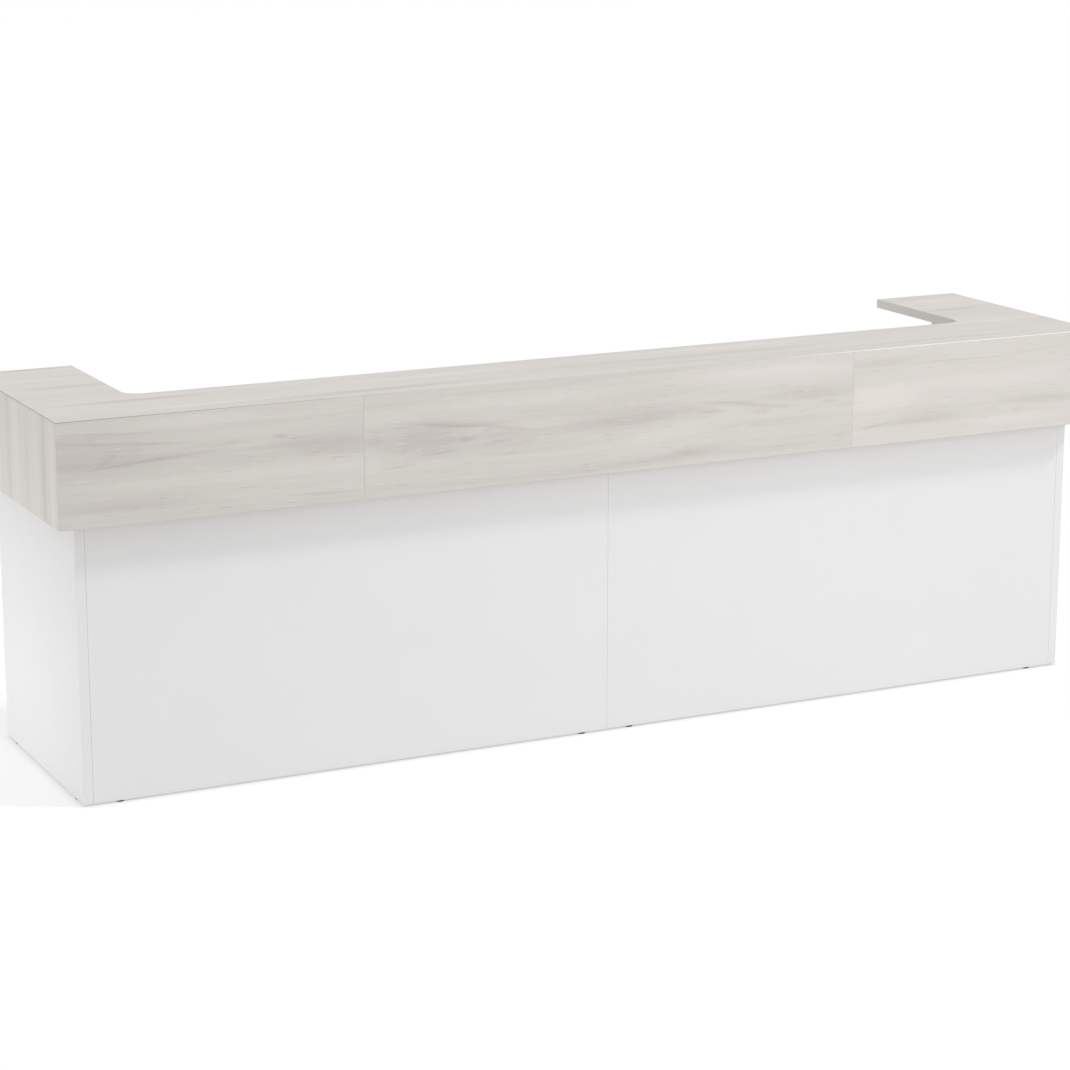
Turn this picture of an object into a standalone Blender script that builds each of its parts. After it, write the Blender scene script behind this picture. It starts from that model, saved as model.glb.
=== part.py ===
"""Service counter: white base, wood-effect fascia band and U-shaped top. Metres, +Z up.

The origin is on the floor, in the middle of the counter's length and depth.
Customers stand on the -Y side and staff on the +Y side. Left and right are as customers see them.
"""

import math

import bmesh
import bpy
from mathutils import Matrix, Vector

# Boards
BOARD = 0.028
ARRIS = 0.0008  # rounding of the edge banding
ARRIS_STEPS = 2
FIT_GAP = 0.0003  # between two pieces that touch

# Counter
TOP_HEIGHT = 1.100
TOP_DEPTH = 0.802
PANEL_WIDTH = 1.600  # each of the two front panels
OVERHANG = 0.060  # top and fascia past the base, at the front and the sides
REAR_SETBACK = 0.010  # end panels short of the top's rear edge
FLOOR_CLEARANCE = 0.005  # base above the floor

# Transaction top
RUN_DEPTH = 0.300  # front to back, along the front
RETURN_WIDTH = 0.300
CORNER_RADIUS = 0.050  # inner corners of the U
CORNER_STEPS = 10

# Fascia band
FASCIA_HEIGHT = 0.297
CENTRE_FASCIA_LENGTH = 1.600
BATTEN_HEIGHT = 0.060
BATTEN_RECESS = 0.012  # lower battens above the fascia's bottom edge
SEAM_BLOCK_WIDTH = 0.080
CLOSING_STRIP_DEPTH = 0.028

# Staff side
WORKTOP_HEIGHT = 0.740
WORKTOP_REVEAL = 0.004  # worktops short of the end panels' rear edges
RAIL_HEIGHT = 0.060
RAIL_THICKNESS = 0.028
RAIL_SETBACK = 0.030  # end rails short of the worktops' rear edges
LOWER_PARTITION_SETBACK = 0.050  # behind the worktops' rear edges, for knees
UPPER_PARTITION_SETBACK = 0.020  # behind the top's inner edge

# Steel angle brackets
BRACKET_LEG = 0.040
BRACKET_THICKNESS = 0.003
BRACKET_LENGTH = 0.060
BEND_STEPS = 4

# Levelling glides and their threaded sleeves
GLIDE_INSET = 0.080  # from the ends of the panel
FOOT_DIAMETER = 0.025
FOOT_CHAMFER = 0.001
STUD_DIAMETER = 0.008
GLIDE_TRAVEL = 0.015
THREAD_ENGAGEMENT = 0.015  # left in the sleeve when the glide is fully out
THREAD_CLEARANCE = 0.0003
SLEEVE_WALL = 0.0017
SLEEVE_LENGTH = 0.022
HOLE_SPARE = 0.005  # hole past the stud's tip
ROUND_STEPS = 24

# Places worked out from the sizes above
HALF_LENGTH = PANEL_WIDTH + BOARD + OVERHANG
FRONT = -TOP_DEPTH / 2
REAR = TOP_DEPTH / 2
BASE_FRONT = FRONT + OVERHANG
PANEL_BACK = BASE_FRONT + BOARD
BASE_REAR = REAR - REAR_SETBACK
BASE_END = PANEL_WIDTH + BOARD
TOP_UNDERSIDE = TOP_HEIGHT - BOARD
BASE_TOP = TOP_UNDERSIDE - FIT_GAP
FASCIA_BOTTOM = TOP_HEIGHT - FASCIA_HEIGHT
FASCIA_BACK = FRONT + BOARD
WORKTOP_UNDERSIDE = WORKTOP_HEIGHT - BOARD
WORKTOP_REAR = BASE_REAR - WORKTOP_REVEAL
LOWER_PARTITION_REAR = WORKTOP_REAR - LOWER_PARTITION_SETBACK
UPPER_PARTITION_REAR = FRONT + RUN_DEPTH - UPPER_PARTITION_SETBACK
MITRE_SHIFT = FIT_GAP * math.sqrt(2)  # moves a 45 degree face by one fit gap
STUD_LENGTH = GLIDE_TRAVEL + THREAD_ENGAGEMENT
SLEEVE_BORE = STUD_DIAMETER + 2 * THREAD_CLEARANCE
SLEEVE_DIAMETER = SLEEVE_BORE + 2 * SLEEVE_WALL
HOLE_DIAMETER = SLEEVE_DIAMETER + 2 * FIT_GAP
HOLE_DEPTH = STUD_LENGTH + HOLE_SPARE
SIDES = (("left", -1), ("right", 1))

# Finishes: colour (linear RGB), roughness, metallic
WOOD_EFFECT = ((0.623, 0.592, 0.558), 0.45, 0.0)
WHITE_MELAMINE = ((0.855, 0.855, 0.855), 0.40, 0.0)
SAWN_TIMBER = ((0.640, 0.480, 0.310), 0.75, 0.0)
ZINC_STEEL = ((0.560, 0.570, 0.580), 0.35, 1.0)
BLACK_PLASTIC = ((0.020, 0.020, 0.022), 0.50, 0.0)


def clear_scene():
    for obj in list(bpy.data.objects):
        bpy.data.objects.remove(obj)


def finish_of(name, finish):
    colour, roughness, metallic = finish
    material = bpy.data.materials.new(name + "_finish")
    material.use_nodes = True
    shader = material.node_tree.nodes["Principled BSDF"]
    shader.inputs["Base Color"].default_value = (*colour, 1.0)
    shader.inputs["Roughness"].default_value = roughness
    shader.inputs["Metallic"].default_value = metallic
    return material


def place(name, mesh, location, finish):
    """An object of this mesh, under the counter's empty."""
    obj = bpy.data.objects.new(name, mesh)
    bpy.context.scene.collection.objects.link(obj)
    obj.location = location
    obj.parent = bpy.data.objects["counter"]
    mesh.materials.append(finish_of(name, finish))
    return obj


def mesh_of(name, bm):
    bmesh.ops.recalc_face_normals(bm, faces=bm.faces)
    mesh = bpy.data.meshes.new(name)
    bm.to_mesh(mesh)
    bm.free()
    return mesh


def loft(name, lower, upper, finish, edged=True):
    """A solid between two outlines with the same number of points, its origin in its middle."""
    points = [Vector(point) for point in (*lower, *upper)]
    low = Vector(min(point[axis] for point in points) for axis in range(3))
    high = Vector(max(point[axis] for point in points) for axis in range(3))
    centre = (low + high) / 2
    bm = bmesh.new()
    made = [bm.verts.new(point - centre) for point in points]
    count = len(lower)
    bottom, top = made[:count], made[count:]
    bm.faces.new(bottom)
    bm.faces.new(top)
    for i in range(count):
        j = (i + 1) % count
        bm.faces.new((bottom[i], bottom[j], top[j], top[i]))
    obj = place(name, mesh_of(name, bm), centre, finish)
    if edged:
        round_edges(obj)
    return obj


def round_edges(obj):
    bevel = obj.modifiers.new("edge_banding", "BEVEL")
    bevel.width = ARRIS
    bevel.segments = ARRIS_STEPS
    bevel.limit_method = "ANGLE"
    bevel.angle_limit = math.radians(30)


def board(name, x, y, z, finish, edged=True):
    """A square-cut board between pairs of limits along X, Y and Z."""
    corners = ((x[0], y[0]), (x[1], y[0]), (x[1], y[1]), (x[0], y[1]))
    lower = [(*corner, z[0]) for corner in corners]
    upper = [(*corner, z[1]) for corner in corners]
    return loft(name, lower, upper, finish, edged)


def mirrored(sign, near, far):
    """The limits along X of a piece that runs from near to far on one side of the middle."""
    return sorted((sign * near, sign * far))


def arc(centre, radius, start, end, steps):
    """Points on a circle between two angles in degrees, both ends included."""
    angles = [math.radians(start + (end - start) * i / steps) for i in range(steps + 1)]
    return [(centre[0] + radius * math.cos(a), centre[1] + radius * math.sin(a)) for a in angles]


def turned(bm, profile, centre=(0.0, 0.0), closed=False):
    """Turns (radius, height) points round Z into bm. A radius of 0 is one point on the axis."""
    rings = []
    for radius, height in profile:
        if radius == 0:
            rings.append([bm.verts.new((*centre, height))])
            continue
        circle = arc(centre, radius, 0, 360, ROUND_STEPS)[:-1]
        rings.append([bm.verts.new((*point, height)) for point in circle])
    pairs = list(zip(rings, rings[1:]))
    if closed:
        pairs.append((rings[-1], rings[0]))
    for lower, upper in pairs:
        for i in range(ROUND_STEPS):
            j = (i + 1) % ROUND_STEPS
            ring = [lower[i % len(lower)], lower[j % len(lower)]]
            ring += [upper[j % len(upper)], upper[i % len(upper)]]
            bm.faces.new(dict.fromkeys(ring))


def smooth(obj):
    obj.data.shade_smooth()
    obj.data.set_sharp_from_angle(angle=math.radians(30))


def top_slab():
    """One U-shaped board. Its front and sides are mitred, so its lower outline is drawn in there."""

    def outline(inset, height):
        rim = HALF_LENGTH - inset
        gap_edge = HALF_LENGTH - RETURN_WIDTH
        arc_x = gap_edge - CORNER_RADIUS
        arc_y = FRONT + RUN_DEPTH + CORNER_RADIUS
        points = [(-rim, FRONT + inset), (rim, FRONT + inset), (rim, REAR), (gap_edge, REAR)]
        points += arc((arc_x, arc_y), CORNER_RADIUS, 0, -90, CORNER_STEPS)
        points += arc((-arc_x, arc_y), CORNER_RADIUS, -90, -180, CORNER_STEPS)
        points += [(-gap_edge, REAR), (-rim, REAR)]
        return [(*point, height) for point in points]

    loft("top_slab", outline(BOARD, TOP_UNDERSIDE), outline(0, TOP_HEIGHT), WOOD_EFFECT)


def mitred_fascia(name, corners):
    """A fascia board from its plan: outer start, outer end, inner end, inner start."""
    outer_top = TOP_HEIGHT - MITRE_SHIFT
    inner_top = TOP_UNDERSIDE - MITRE_SHIFT
    heights = (outer_top, outer_top, inner_top, inner_top)
    lower = [(*corner, FASCIA_BOTTOM) for corner in corners]
    upper = [(*corner, height) for corner, height in zip(corners, heights)]
    loft(name, lower, upper, WOOD_EFFECT)


def front_fascias():
    """Three boards, the outer two mitred round the counter's corners."""
    seam = CENTRE_FASCIA_LENGTH / 2
    near, far = seam - FIT_GAP / 2, seam + FIT_GAP / 2
    centre = ((-near, FRONT), (near, FRONT), (near, FASCIA_BACK), (-near, FASCIA_BACK))
    mitred_fascia("front_fascia_centre", centre)
    for side, sign in SIDES:
        plan = (
            (sign * far, FRONT),
            (sign * HALF_LENGTH, FRONT),
            (sign * (HALF_LENGTH - BOARD), FASCIA_BACK),
            (sign * far, FASCIA_BACK),
        )
        mitred_fascia("front_fascia_" + side, plan)


def side_fascias():
    inner = HALF_LENGTH - BOARD
    for side, sign in SIDES:
        plan = (
            (sign * HALF_LENGTH, FRONT + MITRE_SHIFT),
            (sign * HALF_LENGTH, REAR),
            (sign * inner, REAR),
            (sign * inner, FASCIA_BACK + MITRE_SHIFT),
        )
        mitred_fascia("side_fascia_" + side, plan)


def fascia_battens():
    """Spacer battens between base and fascia, at its top and bottom edges, with a block at each seam."""
    gap_front = (FASCIA_BACK + FIT_GAP, BASE_FRONT - FIT_GAP)
    outer = HALF_LENGTH - BOARD - FIT_GAP
    upper = (BASE_TOP - BATTEN_HEIGHT, BASE_TOP)
    low = FASCIA_BOTTOM + BATTEN_RECESS
    lower = (low, low + BATTEN_HEIGHT)
    strip_front = BASE_REAR - CLOSING_STRIP_DEPTH
    side_depth = (BASE_FRONT, strip_front - FIT_GAP)
    seam = CENTRE_FASCIA_LENGTH / 2
    block_height = (lower[1] + FIT_GAP, upper[0] - FIT_GAP)
    for side, sign in SIDES:
        front_length = mirrored(sign, FIT_GAP / 2, outer)
        side_gap = mirrored(sign, BASE_END + FIT_GAP, outer)
        block = mirrored(sign, seam - SEAM_BLOCK_WIDTH / 2, seam + SEAM_BLOCK_WIDTH / 2)
        strip_height = (FASCIA_BOTTOM, BASE_TOP)
        for level, height in (("upper", upper), ("lower", lower)):
            name = f"{level}_batten_{side}"
            board("front_" + name, front_length, gap_front, height, SAWN_TIMBER, edged=False)
            board("side_" + name, side_gap, side_depth, height, SAWN_TIMBER, edged=False)
        board("seam_block_" + side, block, gap_front, block_height, SAWN_TIMBER, edged=False)
        strip = (strip_front, BASE_REAR)
        board("closing_strip_" + side, side_gap, strip, strip_height, WOOD_EFFECT)


def base_panels():
    """Front panels between the end panels, whose front edges show beside them."""
    depth = (BASE_FRONT, PANEL_BACK)
    height = (FLOOR_CLEARANCE, BASE_TOP)
    for side, sign in SIDES:
        width = mirrored(sign, FIT_GAP / 2, PANEL_WIDTH - FIT_GAP)
        front = board("front_panel_" + side, width, depth, height, WHITE_MELAMINE)
        drill(front)
        thickness = mirrored(sign, PANEL_WIDTH, BASE_END)
        end_depth = (BASE_FRONT, BASE_REAR)
        end = board("end_panel_" + side, thickness, end_depth, height, WHITE_MELAMINE)
        drill(end)


def partitions():
    """A partition under the worktops' joint and an upright on it, between them, that carries the top."""
    thickness = (-BOARD / 2, BOARD / 2)
    start = PANEL_BACK + FIT_GAP
    height = (FLOOR_CLEARANCE, WORKTOP_UNDERSIDE - FIT_GAP)
    depth = (start, LOWER_PARTITION_REAR)
    lower = board("lower_partition", thickness, depth, height, WHITE_MELAMINE)
    drill(lower)
    height = (WORKTOP_UNDERSIDE, BASE_TOP)
    depth = (start, UPPER_PARTITION_REAR)
    board("upper_partition", thickness, depth, height, WHITE_MELAMINE)


def worktops():
    """Two worktops that meet over the lower partition, notched round the upper one, on rails."""
    start = PANEL_BACK + FIT_GAP
    rail_top = WORKTOP_UNDERSIDE - FIT_GAP
    rail_height = (rail_top - RAIL_HEIGHT, rail_top)
    rail_back = start + RAIL_THICKNESS
    inner = FIT_GAP / 2
    outer = PANEL_WIDTH - FIT_GAP
    notch_side = BOARD / 2 + FIT_GAP
    notch_rear = UPPER_PARTITION_REAR + FIT_GAP
    for side, sign in SIDES:
        plan = (
            (sign * notch_side, start),
            (sign * outer, start),
            (sign * outer, WORKTOP_REAR),
            (sign * inner, WORKTOP_REAR),
            (sign * inner, notch_rear),
            (sign * notch_side, notch_rear),
        )
        lower = [(*corner, WORKTOP_UNDERSIDE) for corner in plan]
        upper = [(*corner, WORKTOP_HEIGHT) for corner in plan]
        loft("worktop_" + side, lower, upper, WOOD_EFFECT)
        length = mirrored(sign, notch_side, outer)
        rail = (start, rail_back)
        board("front_rail_" + side, length, rail, rail_height, WHITE_MELAMINE)
        thickness = mirrored(sign, outer - RAIL_THICKNESS, outer)
        rail = (rail_back + FIT_GAP, WORKTOP_REAR - RAIL_SETBACK)
        board("end_rail_" + side, thickness, rail, rail_height, WHITE_MELAMINE)


def bracket(name, corner, first, second):
    """A steel angle in the corner of two faces, given by their normals, with its bend along both."""
    first, second = Vector(first), Vector(second)
    bend = 2 * BRACKET_THICKNESS
    inner = BRACKET_THICKNESS
    outline = [(BRACKET_LEG, inner), (BRACKET_LEG, 0)]
    outline += arc((bend, bend), bend, -90, -180, BEND_STEPS)
    outline += [(0, BRACKET_LEG), (inner, BRACKET_LEG)]
    outline += arc((bend, bend), bend - inner, -180, -90, BEND_STEPS)
    half = BRACKET_LENGTH / 2
    bm = bmesh.new()
    bottom = [bm.verts.new((*point, -half)) for point in outline]
    top = [bm.verts.new((*point, half)) for point in outline]
    bm.faces.new(bottom)
    bm.faces.new(top)
    for i in range(len(outline)):
        j = (i + 1) % len(outline)
        bm.faces.new((bottom[i], bottom[j], top[j], top[i]))
    seat = Vector(corner) + FIT_GAP * (first + second)
    obj = place(name, mesh_of(name, bm), seat, ZINC_STEEL)
    turn = Matrix((first, second, first.cross(second))).transposed()
    obj.rotation_euler = turn.to_euler()
    return obj


def brackets():
    """Angles that hold the top to the panels, the panels to each other and the partitions to them."""
    down, back = (0, 0, -1), (0, 1, 0)
    low = (FLOOR_CLEARANCE + WORKTOP_UNDERSIDE) / 2
    high = (WORKTOP_HEIGHT + TOP_UNDERSIDE) / 2
    return_middle = (FRONT + RUN_DEPTH + BASE_REAR) / 2
    for side, sign in SIDES:
        inward, outward = (-sign, 0, 0), (sign, 0, 0)
        mid_panel = (sign * PANEL_WIDTH / 2, PANEL_BACK, TOP_UNDERSIDE)
        bracket("top_front_bracket_" + side, mid_panel, back, down)
        mid_return = (sign * PANEL_WIDTH, return_middle, TOP_UNDERSIDE)
        bracket("top_end_bracket_" + side, mid_return, inward, down)
        panel_corner = (sign * PANEL_WIDTH, PANEL_BACK, low)
        bracket("corner_bracket_" + side, panel_corner, inward, back)
        for level, height in (("lower", low), ("upper", high)):
            corner = (sign * BOARD / 2, PANEL_BACK, height)
            bracket(f"{level}_partition_bracket_{side}", corner, outward, back)


def glide_places():
    """Where each levelling glide stands, by name."""
    front_line = BASE_FRONT + BOARD / 2
    end_line = PANEL_WIDTH + BOARD / 2
    places = {}
    for side, sign in SIDES:
        places[side + "_outer"] = (sign * (PANEL_WIDTH - GLIDE_INSET), front_line)
        places[side + "_inner"] = (sign * GLIDE_INSET, front_line)
        places[side + "_end_front"] = (sign * end_line, BASE_FRONT + GLIDE_INSET)
        places[side + "_end_rear"] = (sign * end_line, BASE_REAR - GLIDE_INSET)
    places["partition_front"] = (0, PANEL_BACK + GLIDE_INSET)
    places["partition_rear"] = (0, LOWER_PARTITION_REAR - GLIDE_INSET)
    return places


def glide_hole_cutter():
    """One blind hole over each glide, from below the panels' bottom edges."""
    bm = bmesh.new()
    low = FLOOR_CLEARANCE - HOLE_SPARE
    high = FLOOR_CLEARANCE + HOLE_DEPTH
    radius = HOLE_DIAMETER / 2
    for centre in glide_places().values():
        turned(bm, ((0, low), (radius, low), (radius, high), (0, high)), centre)
    cutter = bpy.data.objects.new("glide_holes", mesh_of("glide_holes", bm))
    bpy.context.scene.collection.objects.link(cutter)
    cutter.hide_render = True
    cutter.display_type = "WIRE"


def drill(panel):
    cut = panel.modifiers.new("glide_holes", "BOOLEAN")
    cut.operation = "DIFFERENCE"
    cut.solver = "EXACT"
    cut.object = bpy.data.objects["glide_holes"]


def sleeves():
    """Threaded sleeves, flush with the panels' bottom edges."""
    bore, outer = SLEEVE_BORE / 2, SLEEVE_DIAMETER / 2
    profile = ((outer, 0), (outer, SLEEVE_LENGTH), (bore, SLEEVE_LENGTH), (bore, 0))
    for name, centre in glide_places().items():
        bm = bmesh.new()
        turned(bm, profile, closed=True)
        mesh = mesh_of("sleeve_" + name, bm)
        smooth(place("sleeve_" + name, mesh, (*centre, FLOOR_CLEARANCE), ZINC_STEEL))


def glides():
    """Round plastic feet on threaded studs, screwed fully in. Each origin is on the stud's axis."""
    foot, stud = FOOT_DIAMETER / 2, STUD_DIAMETER / 2
    foot_top = -FIT_GAP
    foot_bottom = -FLOOR_CLEARANCE
    tip = foot_top + STUD_LENGTH
    profile = (
        (0, foot_bottom),
        (foot - FOOT_CHAMFER, foot_bottom),
        (foot, foot_bottom + FOOT_CHAMFER),
        (foot, foot_top - FOOT_CHAMFER),
        (foot - FOOT_CHAMFER, foot_top),
        (stud, foot_top),
        (stud, tip - FOOT_CHAMFER),
        (stud - FOOT_CHAMFER, tip),
        (0, tip),
    )
    for name, centre in glide_places().items():
        bm = bmesh.new()
        turned(bm, profile)
        mesh = mesh_of("glide_" + name, bm)
        smooth(place("glide_" + name, mesh, (*centre, FLOOR_CLEARANCE), BLACK_PLASTIC))


clear_scene()
bpy.context.scene.collection.objects.link(bpy.data.objects.new("counter", None))
glide_hole_cutter()
top_slab()
front_fascias()
side_fascias()
fascia_battens()
base_panels()
partitions()
worktops()
brackets()
sleeves()
glides()
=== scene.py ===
import math

import bmesh
import bpy
from mathutils import Matrix, Vector


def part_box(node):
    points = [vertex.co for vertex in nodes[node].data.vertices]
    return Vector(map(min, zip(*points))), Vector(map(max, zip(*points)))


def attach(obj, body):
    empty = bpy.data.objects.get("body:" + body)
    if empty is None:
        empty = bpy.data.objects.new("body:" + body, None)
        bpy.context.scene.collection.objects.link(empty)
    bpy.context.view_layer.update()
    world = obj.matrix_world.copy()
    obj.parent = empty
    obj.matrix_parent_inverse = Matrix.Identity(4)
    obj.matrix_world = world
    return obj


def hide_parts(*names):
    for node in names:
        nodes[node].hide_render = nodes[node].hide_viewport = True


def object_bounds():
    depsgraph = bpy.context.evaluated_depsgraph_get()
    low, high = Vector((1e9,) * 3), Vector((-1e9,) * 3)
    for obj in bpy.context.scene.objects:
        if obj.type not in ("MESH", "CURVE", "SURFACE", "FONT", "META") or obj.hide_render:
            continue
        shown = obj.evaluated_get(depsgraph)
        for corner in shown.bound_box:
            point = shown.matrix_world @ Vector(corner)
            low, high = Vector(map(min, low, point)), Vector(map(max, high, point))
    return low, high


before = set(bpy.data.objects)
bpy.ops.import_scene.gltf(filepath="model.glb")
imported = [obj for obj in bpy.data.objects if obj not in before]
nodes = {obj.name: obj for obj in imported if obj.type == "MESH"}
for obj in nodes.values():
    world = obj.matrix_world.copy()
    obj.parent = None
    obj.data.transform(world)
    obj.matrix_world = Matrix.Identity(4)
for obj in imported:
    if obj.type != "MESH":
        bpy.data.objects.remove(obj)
cad_low, cad_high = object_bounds()
SIDES = ("left", "right")


# Levelling glides: black nylon feet moulded on zinc-plated M8 studs. Ten of them screw into
# threaded sleeves in the panels' bottom edges, and turning a foot levels the counter.
THREAD_PITCH = 0.00125
THREAD_DEPTH = 0.00065
THREAD_RINGS = 6  # per turn
STUD_RADIUS = 0.0040
STUD_TIP_CUT = 0.00104  # how much slimmer the stud's turned tip is
STUD_SEGMENTS = 24
STUD_ROOT = 0.0002  # stud's lower end inside the foot
FOOT_FLUTES = 24
FLUTE_DEPTH = 0.0004
SEGMENTS_PER_FLUTE = 4
FOOT_RIM_HEIGHT = 0.0034
FOOT_BOSS_RADIUS = 0.0070
FOOT_RECESS_RADIUS = 0.0090
FOOT_RECESS_DEPTH = 0.0008
FOOT_CHAMFER = 0.0006
FOOT_TO_SLEEVE = 0.0003
SHARP_EDGE = math.radians(40)  # faces that meet more sharply than this keep a crisp edge
NYLON_BLACK = "#26262A"
NYLON_GRAIN = 0.0004  # drawn coarser than the real 0.05 mm grain, which is too fine to show
ZINC_GREY = "#C3C6CA"
ZINC_DULL = "#A9ADB2"
CLOUD_SIZE = 0.003


def linear(hex_code):
    """An sRGB hex colour as linear RGBA."""
    shades = [int(hex_code[i:i + 2], 16) / 255 for i in (1, 3, 5)]
    return [s / 12.92 if s <= 0.04045 else ((s + 0.055) / 1.055) ** 2.4 for s in shades] + [1.0]


def add_node(material, kind, sockets=None, **settings):
    """Adds a shader node. Each socket, by number, name or identifier, takes a value or a socket."""
    node = material.node_tree.nodes.new(kind)
    for setting, value in settings.items():
        setattr(node, setting, value)
    for key, value in (sockets or {}).items():
        found = [s for i, s in enumerate(node.inputs) if key in (i, s.identifier, s.name)]
        if isinstance(value, bpy.types.NodeSocket):
            material.node_tree.links.new(value, found[0])
        else:
            found[0].default_value = value
    return {socket.identifier: socket for socket in node.outputs}


def new_material(name):
    material = bpy.data.materials.new(name)
    material.use_nodes = True
    material.node_tree.nodes.clear()
    return material


def dress(name, material):
    """Gives a CAD node its finish."""
    nodes[name].data.materials.clear()
    nodes[name].data.materials.append(material)


def new_piece(name, bm, materials, body="counter"):
    """A piece from a finished bmesh, with its finishes and the body that it rides on."""
    bmesh.ops.recalc_face_normals(bm, faces=bm.faces)
    mesh = bpy.data.meshes.new(name)
    bm.to_mesh(mesh)
    bm.free()
    for material in materials:
        mesh.materials.append(material)
    piece = bpy.data.objects.new(name, mesh)
    bpy.context.scene.collection.objects.link(piece)
    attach(piece, body)
    return piece


def turn_rings(bm, rings, segments, centre=(0.0, 0.0), slot=0):
    """A closed skin through rings. Each is a height and a function from the angle to the radius."""
    made = []
    angles = [2 * math.pi * i / segments for i in range(segments)]
    for height, radius in rings:
        ring = []
        for angle in angles:
            reach = radius(angle)
            x = centre[0] + reach * math.cos(angle)
            y = centre[1] + reach * math.sin(angle)
            ring.append(bm.verts.new((x, y, height)))
        made.append(ring)
    faces = [bm.faces.new(made[0]), bm.faces.new(made[-1])]
    for lower, upper in zip(made, made[1:]):
        for i in range(segments):
            j = (i + 1) % segments
            faces.append(bm.faces.new((lower[i], lower[j], upper[j], upper[i])))
    for face in faces:
        face.material_index = slot
        face.smooth = True


def nylon_black():
    """Injection-moulded nylon: even, low sheen, with a fine spark-eroded grain."""
    material = new_material("moulded_black_nylon")
    place = add_node(material, "ShaderNodeTexCoord")
    grain = add_node(
        material, "ShaderNodeTexNoise",
        {"Vector": place["Object"], "Scale": 1 / NYLON_GRAIN, "Detail": 2.0},
    )
    rough = add_node(
        material, "ShaderNodeMapRange",
        {"Value": grain["Fac"], "To Min": 0.42, "To Max": 0.58},
    )
    bump = add_node(
        material, "ShaderNodeBump",
        {"Height": grain["Fac"], "Strength": 0.15, "Distance": 0.00005},
    )
    shader = add_node(
        material, "ShaderNodeBsdfPrincipled",
        {
            "Base Color": linear(NYLON_BLACK), "Roughness": rough["Result"],
            "IOR": 1.53, "Normal": bump["Normal"],
        },
    )
    add_node(material, "ShaderNodeOutputMaterial", {"Surface": shader["BSDF"]})
    return material


def zinc_plate():
    """Bright zinc plating on steel: cool grey metal, a little cloudy from the passivation."""
    material = new_material("zinc_plated_steel")
    place = add_node(material, "ShaderNodeTexCoord")
    cloud = add_node(
        material, "ShaderNodeTexNoise",
        {"Vector": place["Object"], "Scale": 1 / CLOUD_SIZE, "Detail": 3.0},
    )
    colour = add_node(
        material, "ShaderNodeMix",
        {
            "Factor_Float": cloud["Fac"],
            "A_Color": linear(ZINC_GREY), "B_Color": linear(ZINC_DULL),
        },
        data_type="RGBA",
    )
    rough = add_node(
        material, "ShaderNodeMapRange",
        {"Value": cloud["Fac"], "To Min": 0.25, "To Max": 0.42},
    )
    shader = add_node(
        material, "ShaderNodeBsdfPrincipled",
        {"Base Color": colour["Result_Color"], "Metallic": 1.0, "Roughness": rough["Result"]},
    )
    add_node(material, "ShaderNodeOutputMaterial", {"Surface": shader["BSDF"]})
    return material


def plain(radius):
    """A ring that is the same radius all round."""
    return lambda angle: radius


def thread(height):
    """The threaded stud's ring at a height."""
    def radius(angle):
        turn = (height / THREAD_PITCH - angle / (2 * math.pi)) % 1.0
        return STUD_RADIUS - THREAD_DEPTH * (1 - abs(2 * turn - 1))
    return radius


def glide(name, nylon, zinc):
    """One glide in place of its CAD node: the fluted foot, recessed below, and the threaded stud."""
    low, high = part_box(name)
    centre = ((low.x + high.x) / 2, (low.y + high.y) / 2)
    foot = (high.x - low.x) / 2
    sleeve_low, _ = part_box(name.replace("glide", "sleeve"))
    foot_top = sleeve_low.z - FOOT_TO_SLEEVE

    def fluted(angle):
        return foot - FLUTE_DEPTH * (0.5 - 0.5 * math.cos(FOOT_FLUTES * angle))

    bm = bmesh.new()
    rings = [
        (low.z + FOOT_RECESS_DEPTH, plain(FOOT_RECESS_RADIUS - FOOT_CHAMFER)),
        (low.z, plain(FOOT_RECESS_RADIUS)),
        (low.z, plain(foot - 2 * FOOT_CHAMFER)),
        (low.z + FOOT_CHAMFER, fluted),
        (low.z + FOOT_RIM_HEIGHT, fluted),
        (low.z + FOOT_RIM_HEIGHT + FOOT_CHAMFER, plain(foot - 2 * FOOT_CHAMFER)),
        (foot_top - FOOT_CHAMFER / 2, plain(FOOT_BOSS_RADIUS + FOOT_CHAMFER)),
        (foot_top, plain(FOOT_BOSS_RADIUS)),
    ]
    turn_rings(bm, rings, FOOT_FLUTES * SEGMENTS_PER_FLUTE, centre)

    start = foot_top - STUD_ROOT
    thread_end = high.z - THREAD_PITCH
    step = THREAD_PITCH / THREAD_RINGS
    heights = [start + i * step for i in range(int((thread_end - start) / step))]
    rings = [(height, thread(height)) for height in heights]
    rings.append((thread_end, plain(STUD_RADIUS - THREAD_DEPTH)))
    rings.append((high.z, plain(STUD_RADIUS - STUD_TIP_CUT)))
    turn_rings(bm, rings, STUD_SEGMENTS, centre, slot=1)
    new_name = name.replace("glide_", "levelling_glide_")
    piece = new_piece(new_name, bm, (nylon, zinc), name)
    piece.data.set_sharp_from_angle(angle=SHARP_EDGE)
    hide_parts(name)


NYLON = nylon_black()
ZINC = zinc_plate()
for node_name in [name for name in nodes if name.startswith("glide_")]:
    glide(node_name, NYLON, ZINC)
for node_name in [name for name in nodes if name.startswith("sleeve_")]:
    dress(node_name, ZINC)


# Base: front panels, end panels, partitions and rails, cut from 28 mm chipboard faced with white
# melamine paper, with white edge banding. The facing is smooth, satin and very slightly uneven.
MELAMINE_WHITE = "#E3E3E3"
MELAMINE_SHADE = "#E0E0E0"
PEARL_SIZE = 0.0025  # drawn coarser than the real 0.5 mm pearl, which is too fine to show
MOTTLE_SIZE = 0.30


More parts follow.
